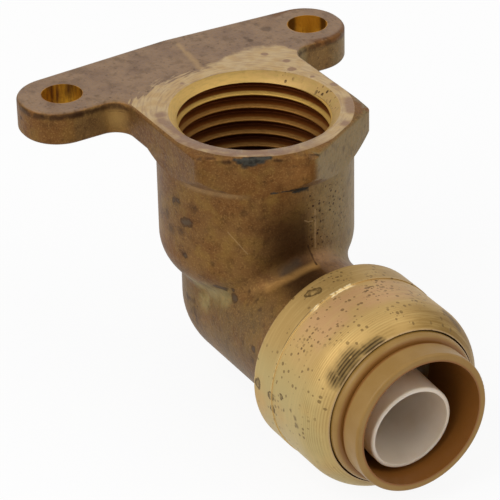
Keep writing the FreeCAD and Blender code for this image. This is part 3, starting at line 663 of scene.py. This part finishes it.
def turnedBrass():
    # cap turned from brass bar: a yellow skin with fine rings on its nose, pitted and stained with age
    c = cap
    finish, tree, where = newFinish("turnedBrass")
    x, y, z = addNode(tree, "ShaderNodeSeparateXYZ", {0: where}).outputs
    height = addNode(tree, "ShaderNodeMath", {0: z, 1: socketZ}, operation="SUBTRACT").outputs[0]
    turn = addNode(tree, "ShaderNodeMath", {0: height, 1: y}, operation="ARCTAN2").outputs[0]
    skin = unrolled(tree, x, turn, capRadius)
    mouthX = 1000 * capHigh[0]
    stepX = c["stepAt"]
    uneven = ragged(tree, where, 0.7, 0.4)
    # painted light on the side turned to -Y
    litPale = zone(tree, (facing(tree, (0, -0.85, -0.5)), 0.3, 0.8), mottle(tree, where, 6.0, 0.25, 0.55),
                most=0.85)
    pink = zone(tree, (height, 5.0, 11.0), (x, 22.6, 24.4), (x, 29.5, 27.5), (y, 8.0, 4.0),
                mottle(tree, where, 5.0, 0.30, 0.55, shift=17.0), most=0.9)
    back = zone(tree, (x, stepX + 0.2, stepX - 0.4), (height, 2.0, 8.0), most=0.3)
    # painted shade on the side towards +Y and on the nose's right
    sideShade = zone(tree, (y, 0.0, 6.0), most=0.35)
    shade = zone(tree, (x, 28.8, 31.4), (y, 0.0, 6.0), most=0.9)
    lip = zone(tree, (x, 31.0, 32.6), (y, -9.0, -5.0), most=0.4)
    # turning rings on the nose and fine streaks round the whole cap
    cycle = addNode(tree, "ShaderNodeMath", {0: x, 1: 2 * math.pi / c["turnMm"]}, operation="MULTIPLY")
    wave = addNode(tree, "ShaderNodeMath", {0: cycle.outputs[0]}, operation="SINE").outputs[0]
    rib = zone(tree, (wave, -0.7, 0.9), (x, 27.8, 30.2), mottle(tree, where, 3.5, 0.35, 0.65), most=0.5)
    drawn = addNode(tree, "ShaderNodeVectorMath", {0: where, 1: (1, 0.08, 0.08)}, operation="MULTIPLY")
    streak = mottle(tree, drawn.outputs[0], 0.35, 0.45, 0.7, 0.3)
    # pits and stains; a dark line at the step, a painted highlight along the step towards +Y, and the burr on
    # the step painted as a bright highlight
    gather = zone(tree, marks(tree, where, c["clusters"], 0.2), mottle(tree, where, 1.3, 0.32, 0.5))
    pits = zone(tree, flecks(tree, skin, 0.55, 0.9, 0.5), gather, most=0.8)
    loose = zone(tree, flecks(tree, skin, 0.75, 0.5, 0.36), mottle(tree, where, 4.0, 0.38, 0.54, shift=5.0),
                 most=0.6)
    pits = addNode(tree, "ShaderNodeMath", {0: pits, 1: loose}, operation="MAXIMUM").outputs[0]
    # a dried drop is a stain with an uneven dark rim, broken in places
    stain = marks(tree, uneven, c["drops"], 0.2)
    drops = zone(tree, (stain, 0.02, 0.18), (stain, 0.9, 0.5), mottle(tree, where, 0.7, 0.25, 0.45),
                 most=0.85)
    stain = zone(tree, (stain, 0.3, 0.7), mottle(tree, where, 0.5, 0.3, 0.6, shift=6.0), most=0.65)
    spots = zone(tree, marks(tree, uneven, c["spots"], 0.3), most=0.65)
    burn = marks(tree, ragged(tree, where, 1.5, 0.6), c["scorches"], 0.0)
    scorch = zone(tree, burn, (wave, 0.6, -0.6), mottle(tree, where, 1.6, 0.2, 0.45), most=0.95)
    film = zone(tree, burn, mottle(tree, where, 1.0, 0.22, 0.45), most=0.65)
    # a dark line at the step, on part of the side towards -Y
    darkStepLine = zone(tree, (x, stepX - 0.18, stepX - 0.08), (x, stepX + 0.08, stepX), (y, -10.8, -10.0),
                 (y, -5.5, -6.5), (height, 0.0, 4.0), most=0.5)
    # painted highlight along the step
    step = zone(tree, (x, stepX, stepX + 0.08), (x, stepX + 0.26, stepX + 0.16), (y, 3.0, -3.0), most=0.8)
    rough = addNode(tree, "ShaderNodeSeparateXYZ", {0: ragged(tree, where, 0.6, 0.3)}).outputs[0]
    # the burr on the step, painted as a bright highlight
    burrHighlight = zone(tree, (rough, stepX - 0.15, stepX - 0.08), (rough, stepX + 0.42, stepX + 0.32),
                (y, -6.8, -5.6), (y, -0.2, -1.0), (height, 0.0, 6.0), mottle(tree, where, 1.1, 0.38, 0.46))
    rim = zone(tree, (x, mouthX - 0.14, mouthX - 0.05), mottle(tree, where, 1.5, 0.25, 0.45), most=0.8)
    colour = layered(tree, c["gold"], [
        (litPale, c["litPale"]), (pink, c["pink"]), (back, c["shade"]), (sideShade, c["shade"]), (lip, c["shade"]),
        (shade, c["shade"]), (streak, c["streak"]),
        (zone(tree, rib, most=0.6), c["shade"]), (film, c["scorch"]), (scorch, c["scorch"]),
        (rim, c["rim"]), (stain, c["pit"]), (drops, c["pit"]), (spots, c["pit"]), (pits, c["pit"]),
        (darkStepLine, c["scorch"]), (step, c["step"]), (burrHighlight, c["burrHighlight"]),
    ])
    gloss = addNode(tree, "ShaderNodeMapRange", {"Value": streak, "To Min": c["roughness"][0],
                    "To Max": c["roughness"][1]}).outputs[0]
    relief = addNode(tree, "ShaderNodeMath", {0: rib, 1: pits}, operation="SUBTRACT").outputs[0]
    return coat(finish, tree, {"Base Color": colour, "Metallic": c["metal"], "Roughness": gloss,
                               "Specular IOR Level": c["specular"]}, relief, c["reliefMm"])


# Release collar

collar = {
    "tan": "#8f6c33",
    "sheen": "#98763f",
    # painted shade in the crease and inside the bore
    "deepShade": "#80501f",
    "bore": 8.1,  # mm
    "lip": 8.45,
    "lipLength": 2.78,
    "creaseWidth": 0.5,
    "creaseFade": 0.25,
    "roughness": 0.38,
    "ior": 1.48,
    "specular": 0.3,
    "reliefMm": 0.004,
}


def mouldedAcetal():
    # acetal moulding: a satin, slightly waxy tan, with painted shade in its crease and where it turns inwards
    c = collar
    finish, tree, where = newFinish("mouldedAcetal")
    x = addNode(tree, "ShaderNodeSeparateXYZ", {0: where}).outputs[0]
    inside = zone(tree, (fromAxis(tree, where, (0, 0, socketZ), (0, 1, 1)), c["lip"], c["bore"]))
    creaseEnd = 1000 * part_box("release_collar")[1][0] - c["lipLength"]
    creaseStart = creaseEnd - c["creaseWidth"]
    crease = zone(tree, (x, creaseStart - c["creaseFade"], creaseStart),
                  (x, creaseEnd + c["creaseFade"], creaseEnd), most=0.75)
    soft = mottle(tree, where, 3.0, 0.35, 0.65, 0.6)
    colour = layered(tree, c["tan"], [(soft, c["sheen"]), (crease, c["deepShade"]), (inside, c["deepShade"])])
    skin = mottle(tree, where, 0.25, 0.2, 0.8, detail=2.0)
    return coat(finish, tree, {"Base Color": colour, "Roughness": c["roughness"], "IOR": c["ior"],
                               "Specular IOR Level": c["specular"]}, skin, c["reliefMm"])


# Tube liner

liner = {
    "ivory": "#dccbb8",
    "warm": "#d2bda4",
    "glow": 0.5,  # share of the light that goes into the wall
    "glowMm": 2.0,
    "glowTint": (1.0, 0.75, 0.55),
    "roughness": 0.42,
    "ior": 1.53,
    "reliefMm": 0.003,
}


def mouldedNylon():
    # nylon moulding: warm off-white, a little light comes through its wall
    finish, tree, where = newFinish("mouldedNylon")
    cloud = mottle(tree, where, 4.0, 0.35, 0.65, 0.6)
    colour = layered(tree, liner["ivory"], [(cloud, liner["warm"])])
    skin = mottle(tree, where, 0.3, 0.2, 0.8, detail=2.0)
    return coat(finish, tree, {"Base Color": colour, "Roughness": liner["roughness"], "IOR": liner["ior"],
                               "Subsurface Weight": liner["glow"], "Subsurface Radius": liner["glowTint"],
                               "Subsurface Scale": liner["glowMm"] / 1000}, skin, liner["reliefMm"])


# Rings inside the socket

inner = {
    "steel": "#b3b2ae",
    "stain": "#8d8b86",
    "steelRoughness": 0.32,
    "rubber": "#1c1b1a",
    "dust": "#2b2926",
    "rubberRoughness": 0.6,
    "guard": "#8c7a5e",
    "guardCloud": "#7d6c52",
    "guardRoughness": 0.5,
    "reliefMm": 0.004,
    "dustMm": 0.006,
}


def springSteel():
    # stamped spring steel: bright, with rolling streaks across the strip
    finish, tree, where = newFinish("stampedSpringSteel")
    long = addNode(tree, "ShaderNodeVectorMath", {0: where, 1: (1, 8, 1)}, operation="MULTIPLY").outputs[0]
    streak = mottle(tree, long, 2.0, 0.35, 0.65, 0.6)
    colour = layered(tree, inner["steel"], [(streak, inner["stain"])])
    return coat(finish, tree, {"Base Color": colour, "Metallic": 1.0, "Roughness": inner["steelRoughness"]},
                streak, inner["reliefMm"])


def sealRubber():
    # moulded nitrile rubber: black, with a bloom of dust
    finish, tree, where = newFinish("mouldedNitrile")
    dust = mottle(tree, where, 0.8, 0.4, 0.7)
    colour = layered(tree, inner["rubber"], [(dust, inner["dust"])])
    return coat(finish, tree, {"Base Color": colour, "Roughness": inner["rubberRoughness"]}, dust,
                inner["dustMm"])


def guardPlastic():
    # moulded acetal guard ring: matt tan
    finish, tree, where = newFinish("mouldedGuardAcetal")
    cloud = mottle(tree, where, 1.5, 0.35, 0.65)
    colour = layered(tree, inner["guard"], [(cloud, inner["guardCloud"])])
    return coat(finish, tree, {"Base Color": colour, "Roughness": inner["guardRoughness"]}, cloud,
                inner["reliefMm"])


for node, finish in (("retaining_cap", turnedBrass()), ("release_collar", mouldedAcetal()),
                     ("tube_liner", mouldedNylon()), ("grab_ring", springSteel()), ("o_ring", sealRubber()),
                     ("seal_protector", guardPlastic())):
    nodes[node].data.materials.clear()
    nodes[node].data.materials.append(finish)
print("finishes set")


# Stage: pale floor, soft light, white background

stage = {
    "drop": 0.0001,  # metres, the floor under the lowest point
    "halfSize": 2.0,
    "selfLit": 0.9,  # share of the floor's white that the camera sees without a shadow
    "card": (0.9, 0.9, 0.9, 1),
    "lampSize": 0.6,
    "keyPlace": (0.10, -0.55, 0.55),
    "keyWatts": 3.2,
    "fillPlace": (0.45, 0.35, 0.45),
    "fillWatts": 1.2,
    "fillLevel": 0.55,  # of the white world, on the object
}


def seenDirectly(tree):
    # 1 for what the camera sees, straight or in gloss or glass
    path = addNode(tree, "ShaderNodeLightPath").outputs
    seen = addNode(tree, "ShaderNodeMath", {0: path["Is Camera Ray"], 1: path["Is Glossy Ray"]},
                   operation="MAXIMUM").outputs[0]
    return addNode(tree, "ShaderNodeMath", {0: seen, 1: path["Is Transmission Ray"]},
                   operation="MAXIMUM").outputs[0]


def paleFloor():
    # a flat square; the camera sees it mostly self-lit, so that it is white and still keeps a soft shadow
    h = stage["halfSize"]
    z = cadBox[0][2] - stage["drop"]
    mesh = bpy.data.meshes.new("floor")
    mesh.from_pydata([(-h, -h, z), (h, -h, z), (h, h, z), (-h, h, z)], [], [(0, 1, 2, 3)])
    floor = bpy.data.objects.new("floor", mesh)
    scene.collection.objects.link(floor)
    finish = bpy.data.materials.new("paleCard")
    finish.use_nodes = True
    tree = finish.node_tree
    tree.nodes.clear()
    share = addNode(tree, "ShaderNodeMath", {0: seenDirectly(tree), 1: stage["selfLit"]},
                    operation="MULTIPLY")
    card = addNode(tree, "ShaderNodeBsdfDiffuse", {"Color": stage["card"]})
    glow = addNode(tree, "ShaderNodeEmission", {"Color": (1, 1, 1, 1), "Strength": 1.0})
    mix = addNode(tree, "ShaderNodeMixShader", {0: share.outputs[0], 1: card.outputs[0], 2: glow.outputs[0]})
    addNode(tree, "ShaderNodeOutputMaterial", {"Surface": mix.outputs[0]})
    mesh.materials.append(finish)


def softLamp(name, place, watts):
    lamp = bpy.data.lights.new(name, "AREA")
    lamp.shape = "SQUARE"
    lamp.size = stage["lampSize"]
    lamp.energy = watts
    holder = bpy.data.objects.new(name, lamp)
    holder.location = place
    aim = -holder.location
    holder.rotation_euler = aim.to_track_quat("-Z", "Y").to_euler()
    scene.collection.objects.link(holder)


def whiteWorld():
    world = bpy.data.worlds.new("studio")
    world.use_nodes = True
    tree = world.node_tree
    tree.nodes.clear()
    level = addNode(tree, "ShaderNodeMapRange", {"Value": seenDirectly(tree), "To Min": stage["fillLevel"],
                    "To Max": 1.0}).outputs[0]
    sky = addNode(tree, "ShaderNodeBackground", {"Color": (1, 1, 1, 1), "Strength": level})
    addNode(tree, "ShaderNodeOutputWorld", {"Surface": sky.outputs[0]})
    scene.world = world


paleFloor()
softLamp("keyLight", stage["keyPlace"], stage["keyWatts"])
softLamp("fillLight", stage["fillPlace"], stage["fillWatts"])
whiteWorld()
print("stage lit")
